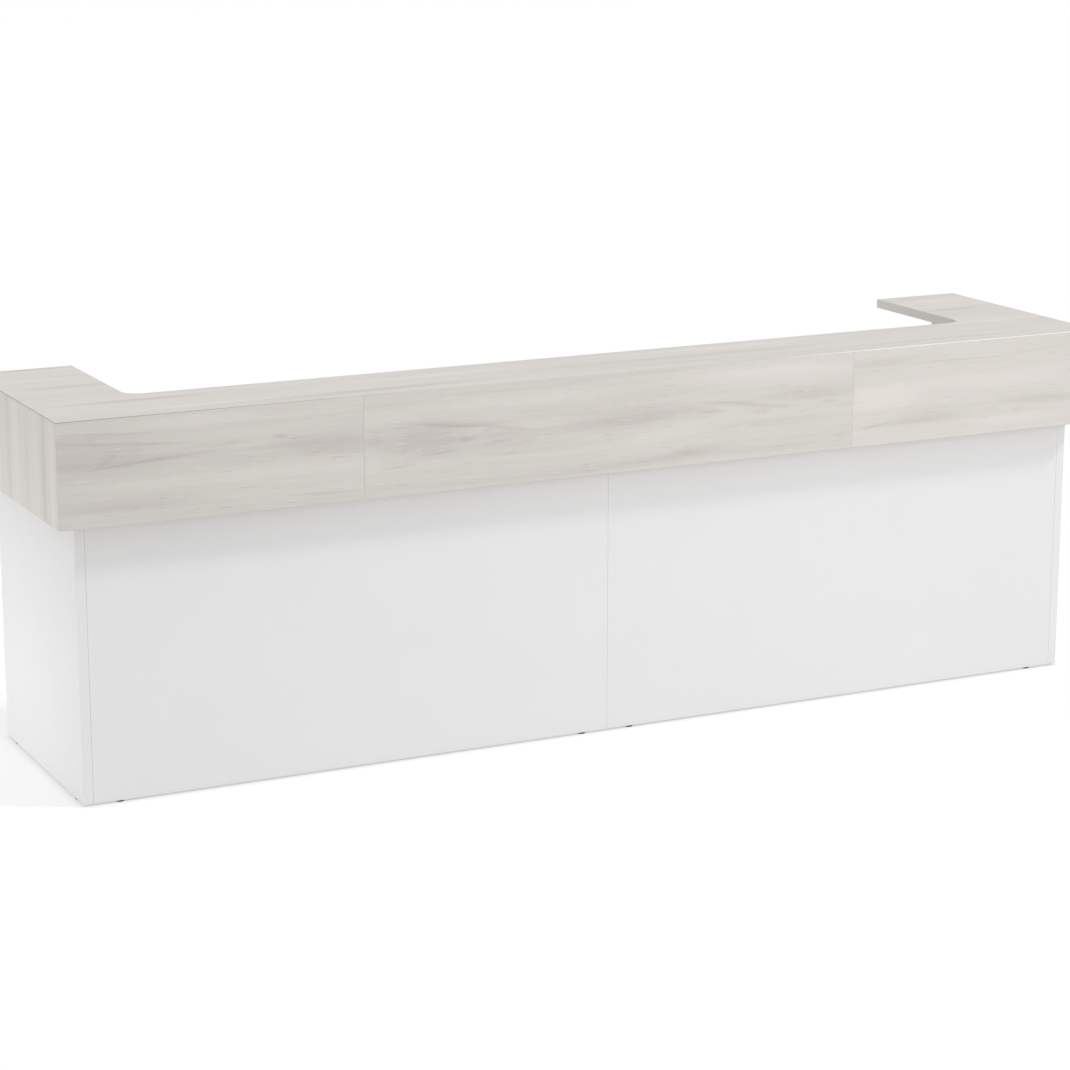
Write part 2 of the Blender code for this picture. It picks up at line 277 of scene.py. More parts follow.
def white_melamine():
    """Melamine paper pressed on chipboard: off-white, satin, with a faint pearl texture."""
    material = new_material("white_melamine_facing")
    place = add_node(material, "ShaderNodeTexCoord")
    mottle = add_node(
        material, "ShaderNodeTexNoise",
        {"Vector": place["Object"], "Scale": 1 / MOTTLE_SIZE, "Detail": 2.0},
    )
    pearl = add_node(
        material, "ShaderNodeTexNoise",
        {"Vector": place["Object"], "Scale": 1 / PEARL_SIZE, "Detail": 1.0},
    )
    colour = add_node(
        material, "ShaderNodeMix",
        {
            "Factor_Float": mottle["Fac"],
            "A_Color": linear(MELAMINE_WHITE), "B_Color": linear(MELAMINE_SHADE),
        },
        data_type="RGBA",
    )
    rough = add_node(
        material, "ShaderNodeMapRange",
        {"Value": pearl["Fac"], "To Min": 0.38, "To Max": 0.50},
    )
    bump = add_node(
        material, "ShaderNodeBump",
        {"Height": pearl["Fac"], "Strength": 0.08, "Distance": 0.0001},
    )
    shader = add_node(
        material, "ShaderNodeBsdfPrincipled",
        {
            "Base Color": colour["Result_Color"], "Roughness": rough["Result"],
            "IOR": 1.50, "Normal": bump["Normal"],
        },
    )
    add_node(material, "ShaderNodeOutputMaterial", {"Surface": shader["BSDF"]})
    return material


MELAMINE = white_melamine()
for side in SIDES:
    for board in ("front_panel", "end_panel", "front_rail", "end_rail"):
        dress(f"{board}_{side}", MELAMINE)
for board in ("lower_partition", "upper_partition"):
    dress(board, MELAMINE)


# Steel angles: 3 mm strip, punched, bent and zinc plated. They hold the top to the panels and the
# panels to each other, each with four pan-head chipboard screws.
BRACKET_SCREW_REACH = 0.024  # from the corner, along each leg
BRACKET_SCREW_SPREAD = 0.017  # to each side of the bracket's middle
BRACKET_THICKNESS = 0.003
HEAD_RADIUS = 0.0040
HEAD_HEIGHT = 0.0024
HEAD_FLAT = 0.35  # the share of the head's radius that its crown leaves flat
HEAD_RIM = 0.25  # the share of the head's height that stands upright at its rim
HEAD_STEPS = 6
HEAD_SEGMENTS = 24
CROSS_LENGTH = 0.0046
CROSS_WIDTH = 0.0009
CROSS_DEPTH = 0.0014
BRACKET_LEGS = {
    "top_front_bracket": ((0, 1, 0), (0, 0, -1)),
    "top_end_bracket": (("inward", 0, 0), (0, 0, -1)),
    "corner_bracket": (("inward", 0, 0), (0, 1, 0)),
    "lower_partition_bracket": (("outward", 0, 0), (0, 1, 0)),
    "upper_partition_bracket": (("outward", 0, 0), (0, 1, 0)),
}


def screw_head_mesh():
    """A pan head with a cross recess, its axis along Z and its underside at zero."""
    bm = bmesh.new()
    rings = [(0.0, plain(HEAD_RADIUS))]
    for i in range(1, HEAD_STEPS):
        lift = math.radians(90 * i / HEAD_STEPS)
        reach = HEAD_RADIUS * (HEAD_FLAT + (1 - HEAD_FLAT) * math.cos(lift))
        height = HEAD_HEIGHT * (HEAD_RIM + (1 - HEAD_RIM) * math.sin(lift))
        rings.append((height, plain(reach)))
    turn_rings(bm, rings, HEAD_SEGMENTS)
    head = bpy.data.meshes.new("screw_head")
    bm.to_mesh(head)
    bm.free()
    cutter_mesh = bpy.data.meshes.new("screw_cross")
    bm = bmesh.new()
    for length, width in ((CROSS_LENGTH, CROSS_WIDTH), (CROSS_WIDTH, CROSS_LENGTH)):
        made = bmesh.ops.create_cube(bm, size=1.0)["verts"]
        bmesh.ops.scale(bm, vec=(length, width, 2 * CROSS_DEPTH), verts=made)
        bmesh.ops.translate(bm, vec=(0, 0, HEAD_HEIGHT), verts=made)
    bm.to_mesh(cutter_mesh)
    bm.free()
    body = bpy.data.objects.new("screw_head_blank", head)
    cutter = bpy.data.objects.new("screw_cross_cutter", cutter_mesh)
    for obj in (body, cutter):
        bpy.context.scene.collection.objects.link(obj)
    cut = body.modifiers.new("cross", "BOOLEAN")
    cut.operation = "DIFFERENCE"
    cut.solver = "EXACT"
    cut.use_self = True
    cut.object = cutter
    graph = bpy.context.evaluated_depsgraph_get()
    done = bpy.data.meshes.new_from_object(body.evaluated_get(graph))
    for obj in (body, cutter):
        bpy.data.objects.remove(obj)
    return done


def seat_last(bm, before, seat, face):
    """Moves the vertices made since a count to their seat, and turns their axis to face outwards."""
    turn = face.to_track_quat("Z", "Y").to_matrix().to_4x4()
    bm.verts.ensure_lookup_table()
    bmesh.ops.transform(bm, matrix=Matrix.Translation(seat) @ turn, verts=bm.verts[before:])


def bracket_screws(kind, side, head, zinc):
    """Two screw heads on each leg of a bracket."""
    sign = -1 if side == "left" else 1
    word = {"inward": -sign, "outward": sign}
    low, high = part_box(f"{kind}_{side}")
    first, second = (Vector([word.get(value, value) for value in leg]) for leg in BRACKET_LEGS[kind])
    along = first.cross(second)
    middle = (low + high) / 2
    corner = Vector(
        low[i] if (first + second)[i] > 0 else high[i] if (first + second)[i] < 0 else middle[i]
        for i in range(3)
    )
    bm = bmesh.new()
    for reach, face in ((first, second), (second, first)):
        for spread in (-BRACKET_SCREW_SPREAD, BRACKET_SCREW_SPREAD):
            seat = corner + BRACKET_SCREW_REACH * reach + spread * along + BRACKET_THICKNESS * face
            before = len(bm.verts)
            bm.from_mesh(head)
            seat_last(bm, before, seat, face)
    piece = new_piece(f"{kind}_{side}_screws", bm, (zinc,))
    piece.data.set_sharp_from_angle(angle=SHARP_EDGE)


HEAD = screw_head_mesh()
for kind in BRACKET_LEGS:
    for side in SIDES:
        dress(f"{kind}_{side}", ZINC)
        bracket_screws(kind, side, HEAD, ZINC)


# Screw caps: white push-in covers over the screws that hold the rails to the panels, seen only from
# the staff side under the worktops.
CAP_RADIUS = 0.0065
CAP_HEIGHT = 0.0014
CAP_PROFILE = ((0.0, 1.0), (0.5, 1.0), (0.85, 0.9), (1.0, 0.6))  # shares of its height and radius
CAP_SEGMENTS = 24
CAP_WHITE = "#E6E6E4"
CAP_GRAIN = 0.0005  # drawn coarser than the real 0.05 mm grain, which is too fine to show
FRONT_RAIL_CAPS = 4
END_RAIL_CAPS = 3


def cap_plastic():
    """Moulded polyethylene: a little whiter and glossier than the board round it."""
    material = new_material("moulded_white_polyethylene")
    place = add_node(material, "ShaderNodeTexCoord")
    grain = add_node(
        material, "ShaderNodeTexNoise",
        {"Vector": place["Object"], "Scale": 1 / CAP_GRAIN, "Detail": 1.0},
    )
    rough = add_node(
        material, "ShaderNodeMapRange",
        {"Value": grain["Fac"], "To Min": 0.30, "To Max": 0.42},
    )
    shader = add_node(
        material, "ShaderNodeBsdfPrincipled",
        {"Base Color": linear(CAP_WHITE), "Roughness": rough["Result"], "IOR": 1.51},
    )
    add_node(material, "ShaderNodeOutputMaterial", {"Surface": shader["BSDF"]})
    return material


def rail_caps(rail, count, face, plastic):
    """A row of caps along a rail, on the side that the face direction points to."""
    low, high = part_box(rail)
    face = Vector(face)
    size = high - low
    along = Vector((1, 0, 0)) if size.x > size.y else Vector((0, 1, 0))
    length = size.dot(along)
    start = (low + high) / 2 - along * length / 2
    surface = size.dot(Vector(abs(part) for part in face)) / 2
    rings = [(CAP_HEIGHT * up, plain(CAP_RADIUS * out)) for up, out in CAP_PROFILE]
    bm = bmesh.new()
    for i in range(count):
        seat = start + along * length * (i + 0.5) / count + face * surface
        before = len(bm.verts)
        turn_rings(bm, rings, CAP_SEGMENTS)
        seat_last(bm, before, seat, face)
    piece = new_piece(rail + "_caps", bm, (plastic,))
    piece.data.set_sharp_from_angle(angle=SHARP_EDGE)


CAP_PLASTIC = cap_plastic()
for side, inward in (("left", 1), ("right", -1)):
    rail_caps(f"front_rail_{side}", FRONT_RAIL_CAPS, (0, 1, 0), CAP_PLASTIC)
    rail_caps(f"end_rail_{side}", END_RAIL_CAPS, (inward, 0, 0), CAP_PLASTIC)


# Battens and seam blocks: planed spruce between the base and the fascia boards, left bare. They
# show only from below and behind.
SPRUCE_PALE = "#CDB896"
SPRUCE_DARK = "#A68763"
RING_SPACING = 0.004
RING_SCALE = 0.35  # the broadest bands are three rings wide, and the noise's detail gives the rings
FIBRE_STRETCH = 1.5  # at that scale a growth line keeps its course for about two metres


def planed_spruce(name, length_axis):
    """Planed softwood: honey-pale with darker growth lines along its length."""
    material = new_material(name)
    place = add_node(material, "ShaderNodeTexCoord")
    scale = [FIBRE_STRETCH if axis == length_axis else 1 / RING_SPACING for axis in "XYZ"]
    stretched = add_node(
        material, "ShaderNodeVectorMath", {0: place["Object"], 1: scale}, operation="MULTIPLY",
    )
    rings = add_node(
        material, "ShaderNodeTexNoise",
        {"Vector": stretched["Vector"], "Scale": RING_SCALE, "Detail": 4.0, "Distortion": 0.4},
    )
    colour = add_node(
        material, "ShaderNodeMix",
        {
            "Factor_Float": rings["Fac"],
            "A_Color": linear(SPRUCE_PALE), "B_Color": linear(SPRUCE_DARK),
        },
        data_type="RGBA",
    )
    bump = add_node(
        material, "ShaderNodeBump",
        {"Height": rings["Fac"], "Strength": 0.3, "Distance": 0.0003},
    )
    shader = add_node(
        material, "ShaderNodeBsdfPrincipled",
        {"Base Color": colour["Result_Color"], "Roughness": 0.7, "Normal": bump["Normal"]},
    )
    add_node(material, "ShaderNodeOutputMaterial", {"Surface": shader["BSDF"]})
    return material


SPRUCE_ALONG = planed_spruce("planed_spruce_lengthways", "X")
SPRUCE_ACROSS = planed_spruce("planed_spruce_crossways", "Y")
SPRUCE_UPRIGHT = planed_spruce("planed_spruce_upright", "Z")
for side in SIDES:
    for height in ("upper", "lower"):
        dress(f"front_{height}_batten_{side}", SPRUCE_ALONG)
        dress(f"side_{height}_batten_{side}", SPRUCE_ACROSS)
    dress(f"seam_block_{side}", SPRUCE_UPRIGHT)


# Fascia, top, worktops and closing strips: 28 mm chipboard faced with a printed ash-effect laminate
# and banded to match. The print is a pale greige with browner streaks and short pores, and matt. The
# undersides have a plain brown balancing paper. The top and the fascia meet in a mitre, drawn as a
# line of painted shade at the left end and a painted highlight at the right. The banding's pale
# colour is partly painted light.
LAMINATE_PALE = "#DAD4CF"
LAMINATE_MID = "#CDC9C3"
LAMINATE_DARK = "#B8B1AC"
MITRE_LINE = 0.0020
MITRE_JOINT_SHADE = "#AEA7A1"  # a dark joint line with painted shade in its groove, strongest at the left end
MITRE_PAINTED_HIGHLIGHT = "#FAF8F5"  # a painted highlight on the rounded edge, at the right end
MITRE_SHADE_FADES = (-1.65, -0.5)  # where the painted shade fades out, so that the middle hardly shows a line
MITRE_HIGHLIGHT_RISES = (0.5, 0.9)  # where the painted highlight begins
MITRE_ROUGHNESS = 0.32
BANDING_PALE_AND_PAINTED_LIGHT = "#EFEBE7"
BANDING_SHARE = 0.75  # the edge banding is paler than the print, paler still as painted light that lifts edges in shade, and shows its pattern faintly
BALANCING_PAPER = "#B4AA9E"  # it stands for the bare board on the fascia's lower edges too
SQUARE_ON = 0.8  # how squarely a face has to look along an axis to count as facing that way
MM = 0.001
WANDER = 0.030  # how far the fibres swing across the grain
WANDER_CELL = (0.75, 0.50)  # how long and how broad a swing is
FEATHER = 0.016  # how ragged a streak's edge is
FEATHER_CELL = (0.30, 0.018)
STREAK_CORE = 0.2  # the share of a streak's half size that has its full strength
# bands in the print, from broad to fine: length, breadth and strength
BANDS = ((1.3, 0.070, 0.50), (0.7, 0.022, 0.40), (0.40, 0.009, 0.20), (0.20, 0.0035, 0.10))
# pores: length, breadth, how much darker they are, and their place in the noise
PORES = ((0.065, 0.0050, 0.26, 3.0), (0.055, 0.0045, -0.30, 7.0))
PORE_RISE = (0.70, 0.82)  # the noise's levels between which a pore comes up


def print_place(material, grain, across, through):
    """Distances along the grain and across it. On a banded end the print runs along the board's
    edge, and on a banded side it runs on round the corner."""
    place = add_node(material, "ShaderNodeTexCoord")
    spot = add_node(material, "ShaderNodeSeparateXYZ", {"Vector": place["Object"]})
    facing = add_node(material, "ShaderNodeSeparateXYZ", {"Vector": place["Normal"]})
    ends = add_node(material, "ShaderNodeMath", {0: facing[grain]}, operation="ABSOLUTE")
    sides = add_node(material, "ShaderNodeMath", {0: facing[across]}, operation="ABSOLUTE")
    on_end = add_node(
        material, "ShaderNodeMath", {0: ends["Value"], 1: SQUARE_ON}, operation="GREATER_THAN",
    )
    on_side = add_node(
        material, "ShaderNodeMath", {0: sides["Value"], 1: SQUARE_ON}, operation="GREATER_THAN",
    )
    banded = add_node(
        material, "ShaderNodeMath", {0: on_end["Value"], 1: on_side["Value"]}, operation="MAXIMUM",
    )
    along = add_node(
        material, "ShaderNodeMix",
        {"Factor_Float": on_end["Value"], "A_Float": spot[grain], "B_Float": spot[across]},
    )
    over = add_node(
        material, "ShaderNodeMix",
        {"Factor_Float": banded["Value"], "A_Float": spot[across], "B_Float": spot[through]},
    )
    return along["Result_Float"], over["Result_Float"], banded["Value"]


def mitre_line(material):
    """One where a board comes within a line's width of the mitred outer edge of the top, else zero.
    With it comes the line's colour: painted shade at the left end that fades out by the middle, and
    a painted highlight at the right end."""
    place = add_node(material, "ShaderNodeTexCoord")
    spot = add_node(material, "ShaderNodeSeparateXYZ", {"Vector": place["Object"]})
    reach = add_node(material, "ShaderNodeMath", {0: spot["X"]}, operation="ABSOLUTE")
    past_side = add_node(
        material, "ShaderNodeMath",
        {0: reach["Value"], 1: cad_high.x - MITRE_LINE}, operation="GREATER_THAN",
    )
    past_front = add_node(
        material, "ShaderNodeMath",
        {0: spot["Y"], 1: cad_low.y + MITRE_LINE}, operation="LESS_THAN",
    )
    outer = add_node(
        material, "ShaderNodeMath",
        {0: past_side["Value"], 1: past_front["Value"]}, operation="MAXIMUM",
    )
    high = add_node(
        material, "ShaderNodeMath",
        {0: spot["Z"], 1: cad_high.z - MITRE_LINE}, operation="GREATER_THAN",
    )
    both = add_node(
        material, "ShaderNodeMath", {0: outer["Value"], 1: high["Value"]}, operation="MULTIPLY",
    )
    # painted shade along the mitre: dark at the left end, fading out by the middle
    shade_fades = add_node(
        material, "ShaderNodeMapRange",
        {"Value": spot["X"], "From Min": MITRE_SHADE_FADES[0], "From Max": MITRE_SHADE_FADES[1]},
    )
    # painted highlight along the mitre towards the right end
    highlight_rises = add_node(
        material, "ShaderNodeMapRange",
        {"Value": spot["X"], "From Min": MITRE_HIGHLIGHT_RISES[0], "From Max": MITRE_HIGHLIGHT_RISES[1]},
    )
    joint_and_shade = add_node(
        material, "ShaderNodeMix",
        {
            "Factor_Float": shade_fades["Result"],
            "A_Color": linear(MITRE_JOINT_SHADE), "B_Color": linear(LAMINATE_PALE),
        },
        data_type="RGBA",
    )
    colour = add_node(
        material, "ShaderNodeMix",
        {
            "Factor_Float": highlight_rises["Result"],
            "A_Color": joint_and_shade["Result_Color"], "B_Color": linear(MITRE_PAINTED_HIGHLIGHT),
        },
        data_type="RGBA",
    )
    return both["Value"], colour["Result_Color"]


def stretched_noise(material, along, over, reach, width, seed, detail):
    """Noise drawn out along the grain, its cells about reach long and width high."""
    near = add_node(material, "ShaderNodeCombineXYZ", {"X": along, "Y": over, "Z": 0.0})
    drawn = add_node(
        material, "ShaderNodeMapping",
        {
            "Vector": near["Vector"],
            "Location": (seed, seed, seed),
            "Scale": (1 / reach, 1 / width, 1.0),
        },
    )
    noise = add_node(
        material, "ShaderNodeTexNoise", {"Vector": drawn["Vector"], "Scale": 1.0, "Detail": detail},
    )
    return noise["Fac"]


def bend(material, along, over, start):
    """The distance across the grain after the fibres have wandered and frayed."""
    swing = stretched_noise(material, along, over, *WANDER_CELL, start, 2.0)
    fray = stretched_noise(material, along, over, *FEATHER_CELL, start + 1, 3.0)
    swung = add_node(
        material, "ShaderNodeMath", {0: swing, 1: WANDER, 2: over}, operation="MULTIPLY_ADD",
    )
    frayed = add_node(
        material, "ShaderNodeMath",
        {0: fray, 1: FEATHER, 2: swung["Value"]}, operation="MULTIPLY_ADD",
    )
    centred = add_node(
        material, "ShaderNodeMath",
        {0: frayed["Value"], 1: (WANDER + FEATHER) / 2}, operation="SUBTRACT",
    )
    return centred["Value"]


def add_streaks(material, shade, along, flow, streaks):
    """Adds the board's own figures. Each is a place along and across the grain, a half length and a
    half height in mm, a tilt in degrees and how much darker it is."""
    near = add_node(material, "ShaderNodeCombineXYZ", {"X": along, "Y": flow, "Z": 0.0})
    for x, y, half_length, half_height, tilt, darkness in streaks:
        inside = add_node(
            material, "ShaderNodeMapping",
            {
                "Vector": near["Vector"],
                "Location": (x * MM, y * MM, 0),
                "Rotation": (0, 0, math.radians(tilt)),
                "Scale": (half_length * MM, half_height * MM, 1),
            },
            vector_type="TEXTURE",
        )
        away = add_node(material, "ShaderNodeVectorMath", {0: inside["Vector"]}, operation="LENGTH")
        streak = add_node(
            material, "ShaderNodeMapRange",
            {
                "Value": away["Value"], "From Min": STREAK_CORE, "From Max": 1.0,
                "To Min": darkness, "To Max": 0.0,
            },
            interpolation_type="SMOOTHSTEP",
        )
        total = add_node(material, "ShaderNodeMath", {0: shade, 1: streak["Result"]}, operation="ADD")
        shade = total["Value"]
    return shade


def add_grain(material, shade, along, over, flow, start, broad):
    """Adds bands, from broad to fine, and pores: short dashes, some darker and some paler. The
    finest are drawn coarser than the real ones, which are too small to show."""
    for reach, width, strength in BANDS:
        band = stretched_noise(material, along, flow, reach, width * broad, start + 10 * width, 2.0)
        centred = add_node(material, "ShaderNodeMath", {0: band, 1: 0.5}, operation="SUBTRACT")
        total = add_node(
            material, "ShaderNodeMath",
            {0: centred["Value"], 1: strength, 2: shade}, operation="MULTIPLY_ADD",
        )
        shade = total["Value"]
    for reach, width, strength, seed in PORES:
        pore = stretched_noise(material, along, over, reach, width, start + seed, 0.0)
        mark = add_node(
            material, "ShaderNodeMapRange",
            {
                "Value": pore, "From Min": PORE_RISE[0], "From Max": PORE_RISE[1],
                "To Min": 0.0, "To Max": strength,
            },
        )
        total = add_node(material, "ShaderNodeMath", {0: shade, 1: mark["Result"]}, operation="ADD")
        shade = total["Value"]
    return shade


def underside(material):
    """One on the faces that look down, else zero."""
    place = add_node(material, "ShaderNodeTexCoord")
    facing = add_node(material, "ShaderNodeSeparateXYZ", {"Vector": place["Normal"]})
    down = add_node(
        material, "ShaderNodeMath", {0: facing["Z"], 1: -SQUARE_ON}, operation="LESS_THAN",
    )
    return down["Value"]


def ash_laminate(name, grain, across, through, start, tone=0.5, streaks=(), broad=1.0):
    """One board's laminate: the axes of its grain, width and thickness, a place in the print, how
    dark it is on the whole, its streaks, and how much broader its bands are than the front's."""
    material = new_material(name)
    along, over, banded = print_place(material, grain, across, through)
    flow = bend(material, along, over, start)
    shade = add_streaks(material, tone, along, flow, streaks)
    shade = add_grain(material, shade, along, over, flow, start, broad)
    line, line_shade_and_highlight = mitre_line(material)
    light_part = add_node(
        material, "ShaderNodeMapRange", {"Value": shade, "From Min": 0.0, "From Max": 0.5},
    )
    dark_part = add_node(
        material, "ShaderNodeMapRange", {"Value": shade, "From Min": 0.5, "From Max": 1.0},
    )
    pale = add_node(
        material, "ShaderNodeMix",
        {
            "Factor_Float": light_part["Result"],
            "A_Color": linear(LAMINATE_PALE), "B_Color": linear(LAMINATE_MID),
        },
        data_type="RGBA",
    )
    colour = add_node(
        material, "ShaderNodeMix",
        {
            "Factor_Float": dark_part["Result"],
            "A_Color": pale["Result_Color"], "B_Color": linear(LAMINATE_DARK),
        },
        data_type="RGBA",
    )
    # paler banding: partly its own colour, partly painted light that lifts edges standing in shade
    banding = add_node(material, "ShaderNodeMath", {0: banded, 1: BANDING_SHARE}, operation="MULTIPLY")
    banded_and_painted_light = add_node(
        material, "ShaderNodeMix",
        {
            "Factor_Float": banding["Value"],
            "A_Color": colour["Result_Color"], "B_Color": linear(BANDING_PALE_AND_PAINTED_LIGHT),
        },
        data_type="RGBA",
    )
    backed = add_node(
        material, "ShaderNodeMix",
        {
            "Factor_Float": underside(material),
            "A_Color": banded_and_painted_light["Result_Color"], "B_Color": linear(BALANCING_PAPER),
        },
        data_type="RGBA",
    )
    # the mitre line's painted shade and painted highlight over the print
    painted_mitre_line = add_node(
        material, "ShaderNodeMix",
        {"Factor_Float": line, "A_Color": backed["Result_Color"], "B_Color": line_shade_and_highlight},
        data_type="RGBA",
    )
    matt = add_node(
        material, "ShaderNodeMapRange", {"Value": shade, "To Min": 0.42, "To Max": 0.52},
    )
    rough = add_node(
        material, "ShaderNodeMix",
        {"Factor_Float": line, "A_Float": matt["Result"], "B_Float": MITRE_ROUGHNESS},
    )
    bump = add_node(
        material, "ShaderNodeBump", {"Height": shade, "Strength": 0.10, "Distance": 0.0002},
    )
    shader = add_node(
        material, "ShaderNodeBsdfPrincipled",
        {
            "Base Color": painted_mitre_line["Result_Color"], "Roughness": rough["Result_Float"],
            "IOR": 1.50, "Normal": bump["Normal"],
        },
    )
    add_node(material, "ShaderNodeOutputMaterial", {"Surface": shader["BSDF"]})
    return material


STREAKS_LEFT = (
    (-1570, 982, 340, 58, 0, 0.30),
    (-1440, 970, 240, 8, 4, 0.20),
    (-1545, 985, 60, 9, 35, 0.12),
    (-1260, 992, 170, 28, 4, 0.16),
    (-1500, 1026, 280, 7, -4, 0.22),
    (-1560, 1058, 300, 6, -2, 0.18),
    (-1640, 1045, 240, 26, 0, 0.12),
    (-930, 976, 260, 42, -2, 0.30),
    (-1050, 1010, 40, 6, 0, 0.25),
    (-1190, 962, 160, 28, 0, 0.12),
    (-1200, 908, 700, 30, 0, -0.24),
    (-1280, 1078, 280, 22, 0, -0.22),
    (-1440, 850, 380, 30, 0, 0.12),
    (-1150, 873, 70, 5, 0, 0.20),
    (-920, 833, 130, 5, 0, 0.22),
)
STREAKS_CENTRE = (
    (-620, 950, 200, 62, -2, 0.26),
    (-775, 968, 50, 30, 0, 0.18),
    (-775, 895, 45, 32, 0, -0.16),
    (-470, 982, 300, 7, -6, 0.20),
    (-520, 992, 280, 20, -5, 0.16),
    (-485, 946, 34, 9, 0, 0.25),
    (-380, 940, 250, 40, 0, 0.12),
    (-690, 884, 75, 5, 3, 0.26),
    (-570, 913, 85, 5, 3, 0.20),
    (-385, 931, 60, 7, 8, 0.24),
    (60, 965, 350, 44, 0, 0.28),
    (370, 976, 130, 9, -3, 0.28),
    (310, 954, 70, 9, 0, 0.25),
    (500, 960, 150, 8, -5, 0.26),
    (480, 944, 60, 11, 0, 0.22),
    (640, 984, 260, 26, 0, 0.18),
    (720, 956, 60, 5, 0, 0.20),
    (560, 905, 280, 32, 2, 0.12),
    (230, 842, 190, 20, 4, 0.15),
    (540, 1052, 500, 50, 0, -0.30),
    (150, 902, 240, 26, 3, -0.20),
    (-300, 1048, 420, 36, 0, -0.20),
    (-100, 830, 460, 16, 0, 0.10),
)
STREAKS_RIGHT = (
    (900, 948, 220, 48, 0, -0.34),
    (1260, 972, 460, 36, -1, -0.20),
    (890, 1058, 220, 22, 0, 0.18),
    (1150, 1042, 260, 6, 0, 0.26),
    (1420, 1050, 220, 5, 3, 0.20),
    (1060, 872, 240, 42, 2, 0.22),
    (1480, 898, 250, 30, -1, 0.26),
    (880, 862, 80, 7, 6, 0.22),
    (1300, 880, 50, 7, 5, 0.22),
    (1180, 1020, 25, 5, 0, 0.22),
    (1400, 838, 220, 22, 0, -0.20),
)
STREAKS_SIDE = (
    (950, -365, 400, 36, 0, -0.30),
    (950, -287, 400, 36, 0, 0.25),
    (950, -132, 400, 40, 0, 0.16),
    (950, -34, 400, 42, 0, -0.22),
    (950, 50, 400, 34, 0, 0.16),
    (950, 150, 400, 30, 0, -0.22),
    (950, 215, 400, 30, 0, 0.14),
)
STREAKS_TOP = (
    (-1540, 380, 190, 26, 0, 0.34),
    (-1500, 80, 230, 34, 0, 0.30),
    (-1560, 210, 200, 40, 0, -0.20),
    (-1400, -180, 300, 24, 0, 0.30),
    (-1250, -320, 420, 22, 1, -0.26),
    (-500, -205, 500, 20, 0, -0.22),
    (-700, -335, 500, 30, 0, 0.28),
    (400, -260, 600, 24, 0, 0.18),
    (500, -170, 500, 20, 0, -0.30),
    (1150, -330, 400, 24, 0, 0.24),
    (1450, -120, 260, 34, 0, -0.22),
    (1500, 120, 170, 26, 0, 0.34),
    (1560, 300, 190, 36, 0, -0.20),
)
# each board's choices for ash_laminate, in its order from the grain's axis on
LAMINATED = {
    "front_fascia_left": ("X", "Z", "Y", 2.0, 0.54, STREAKS_LEFT),
    "front_fascia_centre": ("X", "Z", "Y", 5.0, 0.52, STREAKS_CENTRE),
    "front_fascia_right": ("X", "Z", "Y", 9.0, 0.36, STREAKS_RIGHT),
    "side_fascia_left": ("Z", "Y", "X", 13.0, 0.31, STREAKS_SIDE, 2.0),
    "side_fascia_right": ("Z", "Y", "X", 17.0, 0.40, (), 2.0),
    "closing_strip_left": ("Z", "X", "Y", 21.0),
    "closing_strip_right": ("Z", "X", "Y", 23.0),
    "top_slab": ("X", "Y", "Z", 29.0, 0.48, STREAKS_TOP, 2.0),
    "worktop_left": ("X", "Y", "Z", 31.0, 0.50, (), 1.5),
    "worktop_right": ("X", "Y", "Z", 37.0, 0.50, (), 1.5),
}
for board, choices in LAMINATED.items():
    dress(board, ash_laminate(board + "_ash_laminate", *choices))


# Corner filler: a bead of hard wax, tinted to match and wiped round, that closes the upright mitre
# between the front and side fascia boards at each end.
WAX_GREIGE = "#D2CDC8"
WAX_MOTTLE = 0.004
# the bead's outline seen from above, in mm inwards from the sharp corner: along the front, then back
WAX_OUTLINE = (
    (0.40, 0.166), (0.20, 0.38), (0.08, 0.64), (0.166, 0.824), (0.566, 0.990), (0.566, 0.566),
)
WAX_FROM_ENDS = 0.0010


def hard_wax():
    """Hard repair wax wiped smooth: the laminate's colour, a little cloudy, with a soft sheen."""
    material = new_material("tinted_hard_wax")
    place = add_node(material, "ShaderNodeTexCoord")
    cloud = add_node(
        material, "ShaderNodeTexNoise",
        {"Vector": place["Object"], "Scale": 1 / WAX_MOTTLE, "Detail": 2.0},
    )
    colour = add_node(
        material, "ShaderNodeMix",
        {
            "Factor_Float": cloud["Fac"],
            "A_Color": linear(WAX_GREIGE), "B_Color": linear(LAMINATE_MID),
        },
        data_type="RGBA",
    )
    rough = add_node(
        material, "ShaderNodeMapRange", {"Value": cloud["Fac"], "To Min": 0.40, "To Max": 0.55},
    )
    shader = add_node(
        material, "ShaderNodeBsdfPrincipled",
        {"Base Color": colour["Result_Color"], "Roughness": rough["Result"], "IOR": 1.44},
    )
    add_node(material, "ShaderNodeOutputMaterial", {"Surface": shader["BSDF"]})
    return material


def corner_filler(side, wax):
    """The bead at one end, from just above the fascia's lower edge to just under the top's mitre."""
    sign = -1 if side == "left" else 1
    fascia_low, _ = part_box(f"front_fascia_{side}")
    bm = bmesh.new()
    rings = []
    for height in (fascia_low.z + WAX_FROM_ENDS, cad_high.z - 2 * WAX_FROM_ENDS):
        ring = [
            bm.verts.new((sign * (cad_high.x - inward * MM), cad_low.y + back * MM, height))
            for inward, back in WAX_OUTLINE
        ]
        rings.append(ring)
    lower, upper = rings
    bm.faces.new(lower)
    bm.faces.new(upper)
    count = len(WAX_OUTLINE)
    for i in range(count):
        j = (i + 1) % count
        bm.faces.new((lower[i], lower[j], upper[j], upper[i]))
    new_piece(f"corner_filler_{side}", bm, (wax,))


WAX = hard_wax()
for side in SIDES:
    corner_filler(side, WAX)


